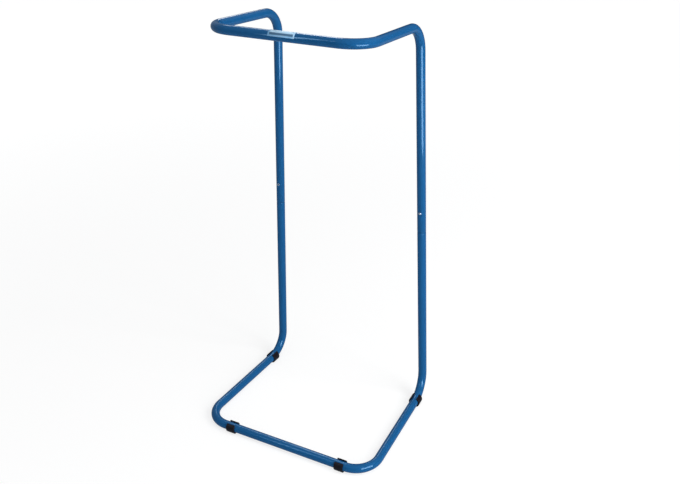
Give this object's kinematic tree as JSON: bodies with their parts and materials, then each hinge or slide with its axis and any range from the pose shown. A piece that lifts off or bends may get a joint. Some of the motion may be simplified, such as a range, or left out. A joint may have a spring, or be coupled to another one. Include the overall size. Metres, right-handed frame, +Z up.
{
  "type": "bin bag holder",
  "caption": "Free-standing bin bag holder of bent steel tube: a U-shaped rim on uprights over a U-shaped base, in halves held by snap buttons, with plastic foot clips.",
  "frame": {"origin": "on the floor, under the middle of the stand's overall box", "axes": "+Z up, front at -Y (the rim and the base reach forward from the uprights), +X to the right as seen from the front"},
  "size_m": [0.4432, 0.3544, 0.9371],
  "materials": {
    "blue_paint": "gloss",
    "zinc": "bright zinc plate",
    "spring_steel": "plain",
    "black_plastic": "satin",
    "label_film": "smooth film"
  },
  "bodies": {
    "frame": {"upper_frame": "blue_paint", "lower_frame": "blue_paint", "left_button_spring": "spring_steel", "right_button_spring": "spring_steel", "front_left_foot_clip": "black_plastic", "front_right_foot_clip": "black_plastic", "rear_left_foot_clip": "black_plastic", "rear_right_foot_clip": "black_plastic", "rim_label": "label_film"},
    "left_button": {"left_snap_button": "zinc"},
    "right_button": {"right_snap_button": "zinc"}
  },
  "joints": [
    {"name": "left_button_slide", "type": "slide", "parent": "frame", "child": "left_button", "axis": [0, 1, 0], "range_m": [0, 0.004], "stiffness_N_per_m": 1500, "springref_m": -0.002, "deforming": ["left_button_spring"]},
    {"name": "right_button_slide", "type": "slide", "parent": "frame", "child": "right_button", "axis": [0, 1, 0], "range_m": [0, 0.004], "stiffness_N_per_m": 1500, "springref_m": -0.002, "deforming": ["right_button_spring"]}
  ]
}
